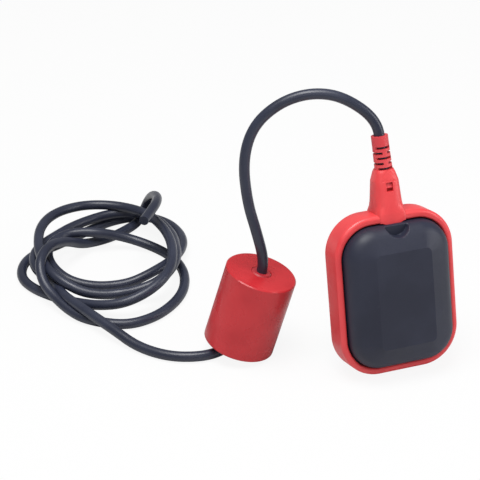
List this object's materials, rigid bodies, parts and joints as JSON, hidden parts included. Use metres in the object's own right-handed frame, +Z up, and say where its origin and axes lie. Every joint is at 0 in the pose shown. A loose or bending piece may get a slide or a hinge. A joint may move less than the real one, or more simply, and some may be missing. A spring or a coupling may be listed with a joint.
{
  "type": "float level switch",
  "caption": "Cable float switch: a pillow-shaped float with a rolling-ball switch inside, a slotted strain relief, a cylindrical counterweight on the cable, and the cable coiled on the floor.",
  "frame": {"origin": "under the middle of the float, on the floor that the float's lower edge stands on", "axes": "+Z up; +Y to the float's back, so its front face looks towards -Y; +X across the float"},
  "size_m": [0.2476, 0.2821, 0.183],
  "materials": {
    "red_plastic": "satin",
    "red_relief": "satin",
    "black_plastic": "satin",
    "weight_plastic": "satin",
    "ring_plastic": "satin",
    "cable_rubber": "satin",
    "seal_rubber": "matt",
    "box_plastic": "satin",
    "track_plastic": "satin",
    "switch_plastic": "satin",
    "button_plastic": "satin",
    "steel": "polished",
    "iron": "raw",
    "brass": "plain",
    "core_brown": "satin",
    "core_black": "satin",
    "core_blue": "satin"
  },
  "bodies": {
    "float": {"bumper_frame": "red_plastic", "strain_relief": "red_relief", "front_shell": "black_plastic", "rear_shell": "black_plastic", "front_gasket": "seal_rubber", "rear_gasket": "seal_rubber", "cable_grommet": "seal_rubber", "switch_box": "box_plastic", "box_lid": "box_plastic", "lid_screws": "steel", "ball_track": "track_plastic", "microswitch_case": "switch_plastic", "microswitch_cover": "switch_plastic", "lever_pin": "steel", "contact_blade": "brass", "terminal_common": "brass", "terminal_open": "brass", "terminal_closed": "brass", "core_brown": "core_brown", "core_black": "core_black", "core_blue": "core_blue", "cable_clamp": "box_plastic", "clamp_screws": "steel", "stop_ring": "ring_plastic", "cable_entry": "cable_rubber", "cable_arc": "cable_rubber", "cable_bore": "cable_rubber", "cable_lead": "cable_rubber", "cable_coil": "cable_rubber", "cable_tail": "cable_rubber"},
    "ball": {"steel_ball": "steel"},
    "lever": {"actuator_lever": "steel"},
    "plunger": {"switch_plunger": "button_plastic"},
    "counterweight": {"weight_shell": "weight_plastic", "weight_base": "weight_plastic", "ballast": "iron"}
  },
  "joints": [
    {"name": "ball_slide", "type": "slide", "parent": "float", "child": "ball", "axis": [0, 0.2453, 0.9694], "range_m": [0, 0.021]},
    {"name": "lever_hinge", "type": "hinge", "parent": "float", "child": "lever", "pos_m": [-0.0088, 0.00136, 0.05764], "axis": [0, -0.9694, 0.2453], "range_deg": [0, 4.5], "stiffness_Nm_per_rad": 0.004},
    {"name": "plunger_slide", "type": "slide", "parent": "float", "child": "plunger", "axis": [0, 0.2453, 0.9694], "range_m": [0, 0.00055], "stiffness_N_per_m": 20},
    {"name": "weight_spin", "type": "hinge", "parent": "float", "child": "counterweight", "pos_m": [-0.0895, 0.0448, 0.00619], "axis": [0.2535, -0.0948, 0.9627], "continuous": true}
  ]
}
